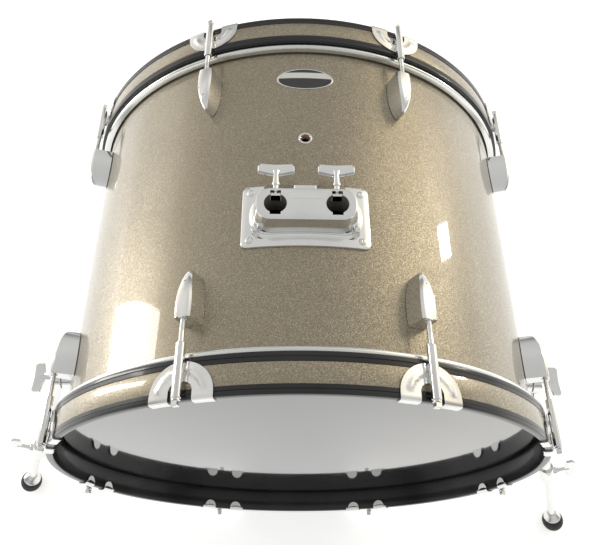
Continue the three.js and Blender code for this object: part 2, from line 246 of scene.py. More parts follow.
def settle(made, body, slot, *nodes):
    """The finished piece rides on its body and stands for its nodes, which it hides. The slot is not used.
    """
    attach(made, body)
    if nodes:
        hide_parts(*nodes)
    return made


def cut(made, *cutters):
    """Takes the cutters' shapes out of a piece and removes them."""
    for cutter in cutters:
        step = made.modifiers.new("cut", "BOOLEAN")
        step.object, step.solver = cutter, "EXACT"
    bpy.context.view_layer.update()
    shaped = made.evaluated_get(bpy.context.evaluated_depsgraph_get())
    mesh = bpy.data.meshes.new_from_object(shaped)
    made.modifiers.clear()
    made.data = mesh
    for cutter in cutters:
        bpy.data.objects.remove(cutter)


def lathe(start, direction, profile, steps=40):
    """Points and faces of (radius, distance) pairs in millimetres turned about a line."""
    along = Vector(direction).normalized()
    side = along.orthogonal().normalized()
    other = along.cross(side)
    verts, faces = [], []
    for r, d in profile:
        for i in range(steps):
            turn = 2 * math.pi * i / steps
            round_it = (side * math.cos(turn) + other * math.sin(turn)) * max(r, 1e-4) * MM
            verts.append(Vector(start) + along * d * MM + round_it)
    for k in range(len(profile) - 1):
        for i in range(steps):
            j = (i + 1) % steps
            a = k * steps
            faces.append((a + i, a + j, a + steps + j, a + steps + i))
    return verts, faces


def bore(start, direction, radius, length, steps=40):
    """A plain round bar, in millimetres apart from its start, for taking out of a piece."""
    return lathe(start, direction, [(0, 0), (radius, 0), (radius, length), (0, length)], steps)


wrap_film = glitter_film("wrap_film")
shell_ply = birch_ply("shell_ply")
inside = SHELL_RADIUS - SHELL_WALL
edge = [(inside, SHELL_HALF - 6 * MM), (SHELL_RADIUS - 3.2 * MM, SHELL_HALF - 0.3 * MM)]
edge += [(SHELL_RADIUS - 2.4 * MM, SHELL_HALF), (SHELL_RADIUS - 1.6 * MM, SHELL_HALF - 0.4 * MM)]
edge += [(SHELL_RADIUS, SHELL_HALF - 2.4 * MM)]
profile = edge + [(r, -y) for r, y in reversed(edge)]
shell = piece("wrapped_shell", *ring(profile, 256), wrap_film, shell_ply)
DRILL_START = 0.25
DRILL_LENGTH = 50
drills = [piece("drill", *bore((0, VENT_Y, DRILL_START), (0, 0, 1), VENT_RADIUS / MM, DRILL_LENGTH, 32))]
for x in (-SOCKET_X, SOCKET_X):
    hole = bore((x, SOCKET_Y, DRILL_START), (0, 0, 1), SOCKET_RADIUS / MM + 2, DRILL_LENGTH, 32)
    drills.append(piece("drill", *hole))
cut(shell, *drills)
for face in shell.data.polygons:
    out = face.center - AXIS
    near = math.hypot(out.x, out.z) > SHELL_RADIUS - 0.5 * MM
    face.material_index = 0 if near and abs(face.normal.y) < 0.3 else 1
soften(shell.data, 30)
settle(shell, "shell", "shell_wrap", "shell")

# ---------------------------------------------------------------------------------------------
# Heads. Each is a polyester film whose edge turns down over the shell into a flesh hoop, a
# rolled aluminium channel. The front film is gloss black, the batter film coated white.

film_low, film_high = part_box("front_head")
FILM_OUT = AXIS.y - film_low.y
FLESH_RADIUS = (film_high.z - film_low.z) / 2
FLESH_DEPTH = 6.3 * MM
FLESH_WIDTH = 8 * MM
HOOP_IN = FILM_OUT - 11.6 * MM


def front_film():
    """Black film: gloss, with faint handling marks that only dull it a little."""
    black = Finish("black_film", Coat_Weight=1.0, Coat_Roughness=0.015, Coat_IOR=1.6, IOR=1.6)
    marks = black.noise(14.0, 6.0)
    colour = black.ramp(marks, (0.3, (0.010, 0.010, 0.011)), (0.8, (0.016, 0.016, 0.017)))
    return black.shade(Base_Color=colour, Roughness=marks * 0.08 + 0.04)


def batter_film():
    """White coating with the fine tooth that brushes need."""
    white = Finish("white_film")
    tooth = white.noise(1400.0, 3.0)
    cloud = white.noise(7.0, 4.0)
    colour = white.ramp(cloud, (0.3, (0.80, 0.79, 0.74)), (0.7, (0.88, 0.87, 0.83)))
    return white.shade(Base_Color=colour, Roughness=tooth * 0.2 + 0.45, Normal=white.bump(tooth, 0.06 * MM))


def rolled_aluminium():
    """Drawn aluminium with faint lines that run round the hoop."""
    metal = Finish("rolled_aluminium", Metallic=1.0)
    thin = {"Vector": metal.place, "Scale": (8.0, 900.0, 8.0)}
    lines = metal.noise(2.0, 3.0, metal.node("ShaderNodeMapping", None, thin))
    colour = metal.ramp(lines, (0.3, (0.74, 0.75, 0.73)), (0.7, (0.88, 0.89, 0.87)))
    return metal.shade(Base_Color=colour, Roughness=lines * 0.14 + 0.16)


flesh_metal = rolled_aluminium()
for side, word, film in ((-1, "front", front_film()), (1, "batter", batter_film())):
    top, out = FILM_OUT, FLESH_RADIUS
    skin = [(0.0, top)] + [(out * i / 40, top) for i in range(1, 38)]
    skin += [(out - 10.0 * MM, top - 0.05 * MM), (out - 8.6 * MM, top - 0.6 * MM)]
    skin += [(out - 7.4 * MM, top - 2.0 * MM), (out - 6.6 * MM, top - 5.0 * MM)]
    skin += [(out - 5.8 * MM, HOOP_IN - 0.6 * MM), (out - 6.4 * MM, HOOP_IN - 1.0 * MM)]
    skin += [(out - 8.3 * MM, top - 3.4 * MM), (out - 10.4 * MM, top - 0.7 * MM), (0.0, top - 0.7 * MM)]
    skin = [(max(r, 1e-7), side * y) for r, y in skin]
    head = piece(f"{word}_film", *ring(skin, closed=True), film, smooth=50)
    settle(head, f"{word}_rim", f"{'black' if side < 0 else 'white'}_film", f"{word}_head")

    high, low = HOOP_IN - 0.3 * MM, HOOP_IN - FLESH_DEPTH - 0.3 * MM
    inner = out - FLESH_WIDTH
    band = [(inner, high - 1 * MM), (inner + 0.8 * MM, high), (out - 1.6 * MM, high)]
    band += [(out - 0.5 * MM, high - 0.5 * MM), (out, high - 1.6 * MM), (out, low + 2.2 * MM)]
    band += [(out - 0.6 * MM, low + 0.8 * MM), (out - 2 * MM, low), (inner, low)]
    band = [(r, side * y) for r, y in band]
    flesh = piece(f"{word}_flesh_hoop", *ring(band), flesh_metal, smooth=50)
    settle(flesh, f"{word}_rim", "chrome")

# ---------------------------------------------------------------------------------------------
# Hoops. Steam bent maple, lacquered gloss black, with a groove turned in the outer face and a
# strip of the shell's own glitter film glued into it.

hoop_low, hoop_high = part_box("front_hoop")
HOOP_RADIUS = (hoop_high.z - hoop_low.z) / 2
HOOP_OUT = AXIS.y - hoop_low.y
HOOP_WALL = 8 * MM
HOOP_DEPTH = hoop_high.y - hoop_low.y
GROOVE = (9.4 * MM, 29.8 * MM)
GROOVE_DEPTH = 0.9 * MM
STEPS = (4.8 * MM, 34.0 * MM)


def black_lacquer():
    """Sprayed lacquer: deep gloss, a faint orange peel, and a faint haze that varies at random."""
    gloss = Finish("black_lacquer", Coat_Weight=0.35, Coat_Roughness=0.05, IOR=1.38)
    peel = gloss.noise(240.0, 2.0)
    haze = gloss.noise(16.0, 5.0)
    colour = gloss.ramp(haze, (0.35, (0.012, 0.012, 0.013)), (0.75, (0.024, 0.024, 0.025)))
    rough = haze * 0.16 + 0.14
    return gloss.shade(Base_Color=colour, Roughness=rough, Normal=gloss.bump(peel, 0.03 * MM))


def arc(cx, cy, radius, start, end, steps=3):
    """Points of a circle's arc in a profile; angles in degrees."""
    sweep = [math.radians(start + (end - start) * i / steps) for i in range(steps + 1)]
    return [(cx + radius * math.cos(a), cy + radius * math.sin(a)) for a in sweep]


lacquer = black_lacquer()
inlay_film = glitter_film("inlay_film")
outer, inner = HOOP_RADIUS, HOOP_RADIUS - HOOP_WALL
hoop_in = HOOP_OUT - HOOP_DEPTH
soft = 1.6 * MM
groove_low, groove_high = hoop_in + GROOVE[0], hoop_in + GROOVE[1]
for side, word in ((-1, "front"), (1, "batter")):
    turned = arc(outer - soft, hoop_in + soft, soft, -90, 0)
    for line in STEPS[:1]:
        turned += [(outer, hoop_in + line - 0.5 * MM), (outer - 0.4 * MM, hoop_in + line)]
        turned += [(outer, hoop_in + line + 0.5 * MM)]
    turned += [(outer, groove_low - 0.3 * MM), (outer - 0.3 * MM, groove_low)]
    turned += [(outer - GROOVE_DEPTH, groove_low + 0.05 * MM)]
    turned += [(outer - GROOVE_DEPTH, groove_high - 0.05 * MM)]
    turned += [(outer - 0.3 * MM, groove_high), (outer, groove_high + 0.3 * MM)]
    for line in STEPS[1:]:
        turned += [(outer, hoop_in + line - 0.5 * MM), (outer - 0.4 * MM, hoop_in + line)]
        turned += [(outer, hoop_in + line + 0.5 * MM)]
    turned += arc(outer - soft, HOOP_OUT - soft, soft, 0, 90)
    turned += arc(inner + soft, HOOP_OUT - soft, soft, 90, 180)
    turned += arc(inner + soft, hoop_in + soft, soft, 180, 270)
    turned = [(r, side * y) for r, y in turned]
    hoop = piece(f"{word}_hoop_wood", *ring(turned, 256), lacquer, smooth=28)
    nodes = ("front_hoop",) if side < 0 else ("batter_hoop",)
    settle(hoop, f"{word}_rim", "hoop_lacquer", *nodes)

    face, back = outer - 0.45 * MM, outer - GROOVE_DEPTH
    strip = [(back, groove_low + 0.15 * MM), (face - 0.1 * MM, groove_low + 0.15 * MM)]
    strip += [(face, groove_low + 0.4 * MM), (face, groove_high - 0.4 * MM)]
    strip += [(face - 0.1 * MM, groove_high - 0.15 * MM), (back, groove_high - 0.15 * MM)]
    strip = [(r, side * y) for r, y in strip]
    inlay = piece(f"{word}_hoop_inlay", *ring(strip, 256), inlay_film, smooth=28)
    settle(inlay, f"{word}_rim", "shell_wrap")

# ---------------------------------------------------------------------------------------------
# Vent and badge. The vent is a short rolled brass grommet, chrome plated, pressed into the film.
# The badge is an oval of thin sheet, curved to the shell, with two plain enamel fields.

GROMMET = ((5.25, -2.0), (5.3, 0.7), (5.9, 1.3), (6.8, 1.35), (7.5, 1.0), (7.7, 0.2), (7.7, -0.4))
BADGE_Y = 143.5 * MM
BADGE_HALF = (33 * MM, 15.5 * MM)


def chrome_plate(name, rough=0.05):
    """Chrome over polished metal: bright, faintly cool, with a soft haze from handling."""
    plate = Finish(name, Metallic=1.0)
    haze = plate.noise(22.0, 5.0)
    colour = plate.ramp(haze, (0.3, (0.80, 0.80, 0.79)), (0.75, (0.90, 0.90, 0.89)))
    ripple = plate.bump(plate.noise(60.0, 1.0), 0.05 * MM)
    return plate.shade(Base_Color=colour, Roughness=haze * 0.10 + rough, Normal=ripple)


def enamel(name, colour, band=None):
    """Baked enamel with a slight mottle, and across the badge a band of a second colour. The same recipe
    also gives the painted shade inside the tom bracket's sockets.
    """
    field = Finish(name, Coat_Weight=0.6, Coat_Roughness=0.08)
    mottle = field.noise(120.0, 3.0)
    low = tuple(c * 0.85 for c in colour)
    paint = field.ramp(mottle, (0.3, low), (0.7, colour))
    if band:
        along = field.node("ShaderNodeSeparateXYZ", None, {0: field.place}, 1)
        level = (along - (BADGE_Y - BADGE_HALF[1])) / (2 * BADGE_HALF[1])
        none, full = (0.0,) * 3, (1.0,) * 3
        inside = field.ramp(level, (0.53, none), (0.55, full), (0.80, full), (0.82, none))
        paint = field.mix(inside, paint, (*band, 1.0))
    return field.shade(Base_Color=paint, Roughness=mottle * 0.2 + 0.2)


def joined(*parts):
    """Several sets of points and faces as one."""
    verts, faces = [], []
    for more, ways in parts:
        base = len(verts)
        verts += more
        faces += [tuple(base + i for i in face) for face in ways]
    return verts, faces


chrome = chrome_plate("chrome")
loop = list(GROMMET) + [(5.25, -2.0)]
crown = (0, VENT_Y, SHELL_RADIUS - 0.1 * MM)
grommet = piece("vent_grommet", *lathe(crown, (0, 0, 1), loop), chrome, smooth=50)
settle(grommet, "shell", "chrome")

rim = [(1.0, 0.05), (0.995, 0.75), (0.975, 1.0), (0.95, 1.0), (0.935, 0.8)]
rim += [(0.93, 0.7), (0.7, 0.7), (0.45, 0.7), (0.2, 0.7), (0.0005, 0.7)]
verts, faces, turns = [], [], 72
for scale, lift in rim + [(0.0005, 0.05), (0.5, 0.05)]:
    for i in range(turns):
        a = 2 * math.pi * i / turns
        x, y = BADGE_HALF[0] * scale * math.cos(a), BADGE_Y + BADGE_HALF[1] * scale * math.sin(a)
        out = SHELL_RADIUS + lift * MM
        verts.append((out * math.sin(x / SHELL_RADIUS), y, out * math.cos(x / SHELL_RADIUS)))
rows = len(rim) + 2
for k in range(rows):
    for i in range(turns):
        j, a, b = (i + 1) % turns, k * turns, (k + 1) % rows * turns
        faces.append((a + i, a + j, b + j, b + i))
fields = enamel("badge_enamel", (0.02, 0.02, 0.022), (0.80, 0.79, 0.74))
badge = piece("shell_badge", verts, faces, chrome, fields, smooth=40)
for face in badge.data.polygons:
    out = face.center - AXIS
    spot = math.hypot(math.asin(out.x / SHELL_RADIUS) * SHELL_RADIUS / BADGE_HALF[0],
                      (out.y - BADGE_Y) / BADGE_HALF[1])
    face.material_index = 1 if spot < 0.925 else 0
settle(badge, "shell", "chrome")

# ---------------------------------------------------------------------------------------------
# Lugs. Sixteen die cast boats, polished and chromed, each bolted to the shell from inside over
# a thin black gasket, with a swivel nut for the rod in the flat end.

LUG_FLAT = 155 * MM
LUG_LENGTH = 52.5 * MM
LUG_WIDTHS = (9.4, 10.3, 10.5, 10.4, 9.9, 9.1, 8.0, 6.2, 4.4, 2.2)
LUG_ALONG = (0.0, 0.15, 0.3, 0.42, 0.53, 0.65, 0.76, 0.87, 0.95, 1.0)
LUG_TOPS = (25.6, 26.0, 26.0, 25.9, 25.4, 24.6, 23.4, 21.4, 19.2, 16.2)
LUG_BEVEL = 1.7
ROD_AXIS = 300 * MM
ROD_BORE = 3.1


def lug_part():
    """The boat at the crown as rings along its length, and the nut in its flat end."""
    verts, faces = [], []
    rings = len(LUG_ALONG)
    for along, wide, top in zip(LUG_ALONG, LUG_WIDTHS, LUG_TOPS):
        y = -LUG_FLAT + LUG_LENGTH * along
        upper = wide * (0.80 - 0.25 * along ** 2)
        half = [(wide - 0.4, 0.35), (wide, 0.9), (wide - 0.15, 2.2)]
        half += [(upper + 0.5, top - LUG_BEVEL - 0.5), (upper, top - LUG_BEVEL)]
        half += [(upper - LUG_BEVEL * 0.9, top - 0.25), (upper - LUG_BEVEL * 1.5, top)]
        half = [(max(x, 0.2), z) for x, z in half]
        line = half + [(-x, z) for x, z in reversed(half)]
        for x, z in line:
            foot = math.sqrt(SHELL_RADIUS ** 2 - (x * MM) ** 2)
            lift = foot + z * MM if z < 3 else SHELL_RADIUS + z * MM
            verts.append((x * MM, y, lift))
    count = 2 * 7
    for k in range(rings - 1):
        for i in range(count):
            j, a, b = (i + 1) % count, k * count, (k + 1) * count
            faces.append((a + i, a + j, b + j, b + i))
    faces.append(tuple(range(count)))
    faces.append(tuple(range((rings - 1) * count, rings * count)))
    return verts, faces


def gasket_part():
    """A thin sheet under the boat, set in a little so that it shows as a dark line."""
    verts, faces = [], []
    for lift in (0.02, 0.42):
        for sign in (1, -1):
            line = list(zip(LUG_ALONG, LUG_WIDTHS))
            for along, wide in (line if sign > 0 else reversed(line)):
                x = sign * (wide - 0.3) * MM
                y = -LUG_FLAT + 0.3 * MM + (LUG_LENGTH - 0.6 * MM) * along
                verts.append((x, y, math.sqrt(SHELL_RADIUS ** 2 - x * x) + lift * MM))
    count = 2 * len(LUG_ALONG)
    for i in range(count):
        faces.append((i, (i + 1) % count, count + (i + 1) % count, count + i))
    half = len(LUG_ALONG)
    for base in (0, count):
        for i in range(half - 1):
            faces.append((base + i, base + i + 1, base + count - 2 - i, base + count - 1 - i))
    return verts, faces


def node_group(name, inputs):
    """A geometry node group: its nodes, the values of its named inputs and their identifiers."""
    tree = bpy.data.node_groups.new(name, "GeometryNodeTree")
    named = {}
    for label, kind in inputs:
        socket = tree.interface.new_socket(label, in_out="INPUT", socket_type=f"NodeSocket{kind}")
        named[label] = socket.identifier
    tree.interface.new_socket("Made", in_out="OUTPUT", socket_type="NodeSocketGeometry")
    grid = Nodes(tree)
    return grid, [grid.node("NodeGroupInput", out=i) for i in range(len(inputs))], named


def grow(made, grid, shape, finish, named, values):
    """Ends the group with real geometry and a material, and gives the mesh that it makes."""
    shape = grid.node("GeometryNodeRealizeInstances", None, {"Geometry": shape})
    shape = grid.node("GeometryNodeSetMaterial", None, {"Geometry": shape, "Material": finish})
    grid.node("NodeGroupOutput", None, {0: shape})
    step = made.modifiers.new(grid.tree.name, "NODES")
    step.node_group = grid.tree
    for label, value in values.items():
        step[named[label]] = value
    bpy.context.view_layer.update()
    shaped = made.evaluated_get(bpy.context.evaluated_depsgraph_get())
    mesh = bpy.data.meshes.new_from_object(shaped)
    made.modifiers.clear()
    return mesh


def stations(name, part, copies, first, both_ends, finish):
    """One mesh that repeats a crown part round the drum, at the front rim or at both rims."""
    inputs = (("Part", "Geometry"), ("Copies", "Int"), ("First Turn", "Float"), ("Centre", "Vector"))
    grid, given, named = node_group(name, inputs)
    seeds = grid.node("GeometryNodePoints", None, {"Count": given[1]})
    angle = grid.node("GeometryNodeInputIndex") / given[1] * (2 * math.pi) + given[2]
    turn = grid.node("ShaderNodeCombineXYZ", None, {"Y": angle})
    turn = grid.node("FunctionNodeEulerToRotation", None, {0: turn})
    spread = {"Points": seeds, "Instance": given[0], "Rotation": turn}
    ringed = grid.node("GeometryNodeInstanceOnPoints", None, spread)
    if both_ends:
        about = {"Geometry": ringed, "Rotation": (0, 0, math.pi)}
        other = grid.node("GeometryNodeTransform", None, about)
        both = grid.node("GeometryNodeJoinGeometry")
        for half in (ringed, other):
            grid.feed(both.link.node.inputs[0], half)
        ringed = both
    ringed = grid.node("GeometryNodeTransform", None, {"Geometry": ringed, "Translation": given[3]})

    made = piece(name, *part)
    for v in made.data.vertices:
        v.co -= AXIS
    values = {"Copies": copies, "First Turn": first, "Centre": tuple(AXIS)}
    made.data = grow(made, grid, ringed, finish, named, values)
    soften(made.data, 28)
    return made


EIGHTH = math.pi / 4
bored = piece("lug_unit", *lug_part(), chrome, smooth=28)
way = bore((0, -LUG_FLAT - 4 * MM, ROD_AXIS), (0, 1, 0), ROD_BORE, 42, 32)
cut(bored, piece("rod_way", *way))
unit = [v.co - AXIS for v in bored.data.vertices], [tuple(f.vertices) for f in bored.data.polygons]
bpy.data.objects.remove(bored)
nut = [(3.1, 6.0), (3.1, -0.2), (3.4, -0.5), (4.2, -0.5), (4.5, -0.2), (4.5, 6.0), (3.1, 6.0)]
nut = lathe((0, -LUG_FLAT, ROD_AXIS), (0, 1, 0), nut, 24)
lugs = stations("lugs", joined(unit, nut), 8, EIGHTH / 2, True, chrome)
lug_nodes = [f"{word}_lug_{i}" for word in ("front", "batter") for i in range(1, 9)]
settle(lugs, "shell", "chrome", *lug_nodes)


def rubber(name):
    """Moulded rubber: dark, dull, with a fine tooth and a little dust."""
    dull = Finish(name)
    dust = dull.noise(35.0, 5.0)
    colour = dull.ramp(dust, (0.35, (0.018, 0.018, 0.019)), (0.8, (0.036, 0.035, 0.034)))
    tooth = dull.bump(dull.noise(900.0, 2.0), 0.08 * MM)
    return dull.shade(Base_Color=colour, Roughness=dust * 0.25 + 0.55, Normal=tooth)


soft_rubber = rubber("rubber")
gaskets = stations("lug_gaskets", gasket_part(), 8, EIGHTH / 2, True, soft_rubber)
settle(gaskets, "shell", "rubber")

# ---------------------------------------------------------------------------------------------
# Claws. Pressed steel sheet, chromed: a half disc that lies on the hoop and turns over its edge,
# an arched mouth, a raised arc for stiffness, and a faceted sleeve welded on for the rod.

CLAW_HALF = 32.3
CLAW_TOP = -195.2
CLAW_SHEET = 1.4
MOUTH_HALF = 12.0
MOUTH_TOP = -213.6
HOOK = 10.5
SLEEVE_ACROSS = 4.7


def claw_part(gap):
    """The sheet at the crown of the front hoop: columns across it, rows from the arc to the hook."""
    radius, end = HOOP_RADIUS / MM + gap, -(HOOP_OUT / MM) - gap
    inner = radius - HOOP_WALL / MM - 2 * gap
    bend = 1.6
    half = [0, 3, 6, 8.5, 10.5, MOUTH_HALF, 13.2, 15, 17.5, 20, 22.5, 25, 27.5, 29.5, 31, 31.9, CLAW_HALF]
    across = [-x for x in reversed(half[1:])] + half
    outer, inside, faces = [], [], []
    index = {}
    for c, x in enumerate(across):
        arch = math.sqrt(max(0.0, 1 - (x / CLAW_HALF) ** 2))
        top = end + 6 + (CLAW_TOP - end - 6) * arch
        wide = abs(x)
        if wide <= MOUTH_HALF:
            mouth = MOUTH_TOP - 7.5 * (1 - math.sqrt(max(0.0, 1 - (wide / MOUTH_HALF) ** 2)))
        else:
            mouth = end + 8 + (MOUTH_TOP - end - 15.5) * max(0.0, (24 - wide) / 12)
            mouth = min(mouth, top - 0.4)
        path = []
        for i in range(9):
            y = top + (mouth - top) * i / 8
            spot = math.hypot(x / CLAW_HALF, (y - end - 6) / (CLAW_TOP - end - 6))
            ridge = 1.3 * math.exp(-((spot - 0.70) / 0.05) ** 2) if y > end + 8.5 else 0.0
            path.append((radius + ridge, y, (1, 0)))
        if wide >= MOUTH_HALF:
            for i in range(1, 4):
                y = mouth + (end + bend - mouth) * i / 3
                path.append((radius, y, (1, 0)))
            for a in (30, 60, 90):
                s, k = math.sin(math.radians(a)), math.cos(math.radians(a))
                path.append((radius - bend + bend * k, end + bend - bend * s, (k, -s)))
            path.append(((radius + inner) / 2, end, (0, -1)))
            for a in (0, 30, 60, 90):
                s, k = math.sin(math.radians(a)), math.cos(math.radians(a))
                path.append((inner + bend - bend * s, end + bend - bend * k, (-s, -k)))
            tab = max(0.0, 1 - ((wide - 20.5) / 8.6) ** 2) ** 0.5
            deep = end + bend + 0.8 + (HOOK - bend - 0.8) * tab
            path.append((inner, (end + bend + deep) / 2, (-1, 0)))
            path.append((inner, deep, (-1, 0)))
        for row, (r, y, (out, on)) in enumerate(path):
            index[c, row] = len(outer)
            for layer, thick in ((outer, CLAW_SHEET), (inside, 0.0)):
                rr, yy = r + out * thick, y + on * thick
                turn = x / (HOOP_RADIUS / MM)
                layer.append((rr * MM * math.sin(turn), yy * MM, rr * MM * math.cos(turn)))
    shift = len(outer)
    edges = {}
    for c in range(len(across) - 1):
        for row in range(40):
            corners = [(c, row), (c + 1, row), (c + 1, row + 1), (c, row + 1)]
            if all(k in index for k in corners):
                quad = [index[k] for k in corners]
                faces.append(tuple(quad))
                faces.append(tuple(shift + i for i in reversed(quad)))
                for a, b in zip(quad, quad[1:] + quad[:1]):
                    edges[a, b] = (a, b)
    for a, b in edges.values():
        if (b, a) not in edges:
            faces.append((a, b, shift + b, shift + a))
    return outer + inside, faces


def sleeve_part():
    """A six sided sleeve with a round bore, from above the hoop to its end face."""
    start, end = -179 * MM, -HOOP_OUT + 0.2 * MM
    verts, faces, steps = [], [], 24
    for y, across, bore in ((start, 0.94, False), (start - 0.5 * MM, 1, False), (end + 0.5 * MM, 1, False),
                            (end, 0.94, False), (end, 0, True), (start, 0, True)):
        for i in range(steps):
            a = 2 * math.pi * (i + 0.5) / steps
            flat = SLEEVE_ACROSS * 0.94 / max(math.cos((a % (math.pi / 3)) - math.pi / 6), 0.5)
            r = (3.15 if bore else min(flat, SLEEVE_ACROSS) * across) * MM
            verts.append((r * math.sin(a), y, ROD_AXIS + r * math.cos(a)))
    for k in range(6):
        for i in range(steps):
            j, a, b = (i + 1) % steps, k * steps, (k + 1) % 6 * steps
            faces.append((a + i, a + j, b + j, b + i))
    return verts, faces


front_claws = stations("front_claws", joined(claw_part(0.35), sleeve_part()), 8, EIGHTH / 2, False, chrome)
settle(front_claws, "front_rim", "chrome", *[f"front_claw_{i}" for i in range(1, 9)])
batter_part = joined(claw_part(0.05), sleeve_part())
batter_part = [(-x, -y, z) for x, y, z in batter_part[0]], batter_part[1]
batter_claws = stations("batter_claws", batter_part, 8, EIGHTH / 2, False, chrome)
settle(batter_claws, "batter_rim", "chrome")

# ---------------------------------------------------------------------------------------------
# Tension rods. Turned steel, chromed: rolled thread at the lug, a plain shank through the sleeve,
# a washer and a square key head. Sixteen, each of which turns on its own.

ROD_RADIUS = 2.8
ROD_TIP = 121
THREAD_PITCH = 1.27
THREAD_LENGTH = 46


def threaded_rod(finish):
    """The rod at the crown of the front rim: the turned body, its key head and its thread."""
    seat = HOOP_OUT / MM + 0.3
    body = [(0, ROD_TIP), (1.8, ROD_TIP), (2.35, ROD_TIP + 0.8), (2.35, ROD_TIP + THREAD_LENGTH)]
    body += [(ROD_RADIUS - 0.05, ROD_TIP + THREAD_LENGTH + 1.2), (ROD_RADIUS - 0.05, seat)]
    body += [(4.1, seat), (4.3, seat + 0.3), (4.3, seat + 1.5), (3.9, seat + 2.0), (2.6, seat + 2.1)]
    body += [(2.6, seat + 3.0), (0, seat + 3.0)]
    rod = lathe((0, 0, ROD_AXIS), (0, -1, 0), body, 20)
    head, faces = [], []
    for out, wide in ((seat + 2.0, 2.5), (seat + 2.4, 2.85), (seat + 6.3, 2.85), (seat + 6.9, 2.4)):
        for sx, sz in ((1, 1), (-1, 1), (-1, -1), (1, -1)):
            head.append((sx * wide * MM, -out * MM, ROD_AXIS + sz * wide * MM))
    for k in range(3):
        for i in range(4):
            j, a, b = (i + 1) % 4, 4 * k, 4 * k + 4
            faces.append((a + i, a + j, b + j, b + i))
    faces += [(0, 1, 2, 3), (12, 13, 14, 15)]
    turns = int(THREAD_LENGTH / THREAD_PITCH)

    inputs = (("Ridge", "Geometry"), ("Turns", "Int"), ("Pitch", "Float"))
    grid, given, named = node_group("thread", inputs)
    along = grid.node("GeometryNodeInputIndex") * given[2] * -1.0
    place = grid.node("ShaderNodeCombineXYZ", None, {"Y": along})
    seeds = grid.node("GeometryNodePoints", None, {"Count": given[1], "Position": place})
    spread = grid.node("GeometryNodeInstanceOnPoints", None, {"Points": seeds, "Instance": given[0]})
    ridge = [(2.3, 0.1), (ROD_RADIUS - 0.05, 0.5), (ROD_RADIUS - 0.05, 0.75), (2.3, 1.15), (2.3, 0.1)]
    ridge = lathe((0, -(ROD_TIP + 1) * MM, ROD_AXIS), (0, -1, 0), ridge, 14)
    thread = piece("thread", *ridge, finish)
    for v in thread.data.vertices:
        v.co -= AXIS
    mesh = grow(thread, grid, spread, finish, named, {"Turns": turns, "Pitch": THREAD_PITCH * MM})
    ridges = [tuple(v.co) for v in mesh.vertices], [tuple(f.vertices) for f in mesh.polygons]
    bpy.data.objects.remove(thread)
    return joined(rod, (head, faces), ridges)


bright_rod = threaded_rod(chrome)
for word, flip in (("front", 1), ("batter", -1)):
    for i in range(8):
        number = i + 1
        node_low, node_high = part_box(f"{word}_tension_rod_{number}")
        middle = (node_low + node_high) / 2 - AXIS
        turn = Matrix.Rotation(math.atan2(middle.x, middle.z), 3, "Y")
        flipped = Matrix.Rotation(0 if flip > 0 else math.pi, 3, "Z")
        verts = [turn @ flipped @ Vector(v) for v in bright_rod[0]]
        rod = piece(f"{word}_rod_{number}", verts, bright_rod[1], chrome, smooth=30)
        settle(rod, f"{word}_rod_{number}", "chrome", f"{word}_tension_rod_{number}")

# ---------------------------------------------------------------------------------------------
# Tom bracket. A die cast block on a curved plate, polished and chromed, with two keyed sockets.
# Four corner screws hold it; a wing screw presses a shoe behind each socket on the arm.

BRACKET_Y = -42.5
PLATE_HALF = (65.8, 36.1)
PLATE_THICK = 3.1
BLOCK_HALF = (50.8, 18.3)
BLOCK_TOP = 302.9
FLARE_OUT = 5.5
FLARE_UP = 4.0
DRAFT = 4.0
KEY_HALF = 5.4
TOM_SCREW_Z = 297.5
CORNER = (57.0, 28.0)


def rounded(half_x, half_y, radius, steps=6):
    """A rectangle with rounded corners as plan points in millimetres, its sides divided too."""
    line = []
    for corner, (sx, sy) in enumerate(((1, 1), (-1, 1), (-1, -1), (1, -1))):
        for i in range(steps + 1):
            a = math.pi / 2 * (corner + i / steps)
            x = sx * (half_x - radius) + radius * math.cos(a)
            line.append((x, BRACKET_Y + sy * (half_y - radius) + radius * math.sin(a)))
        if corner % 2 == 0:
            x, y = line[-1]
            line += [(x - 2 * x * i / 16, y) for i in range(1, 16)]
    return line


def stacked(levels):
    """Closed body from plan outlines with heights; each height is a number or a function of x."""
    verts, faces = [], []
    for line, height in levels:
        for x, y in line:
            z = height(x) if callable(height) else height
            verts.append((x * MM, y * MM, z * MM))
    count = len(levels[0][0])
    for k in range(len(levels) - 1):
        for i in range(count):
            j, a, b = (i + 1) % count, k * count, (k + 1) * count
            faces.append((a + i, a + j, b + j, b + i))
    faces.append(tuple(range(count)))
    faces.append(tuple(range((len(levels) - 1) * count, len(levels) * count)))
    return verts, faces


def on_shell(lift):
    return lambda x: math.sqrt((SHELL_RADIUS / MM + lift) ** 2 - x * x)


def curved_plate():
    """The plate as a fine grid on the shell, its edge rounded over."""
    outline = rounded(*PLATE_HALF, 6, 8)
    verts, faces = [], []
    rings = [(1.0, 0.35), (1.0, PLATE_THICK - 1.0), (0.995, PLATE_THICK - 0.3), (0.985, PLATE_THICK)]
    rings += [(0.9, PLATE_THICK), (0.82, PLATE_THICK), (0.75, PLATE_THICK), (0.75, 0.35), (0.88, 0.35)]
    for scale, lift in rings:
        for x, y in outline:
            px, py = x * scale, BRACKET_Y + (y - BRACKET_Y) * scale
            out = SHELL_RADIUS / MM + lift
            verts.append((px * MM, py * MM, math.sqrt(out * out - px * px) * MM))
    count, rows = len(outline), len(rings)
    for k in range(rows):
        for i in range(count):
            j, a, b = (i + 1) % count, k * count, (k + 1) % rows * count
            faces.append((a + i, a + j, b + j, b + i))
    return verts, faces


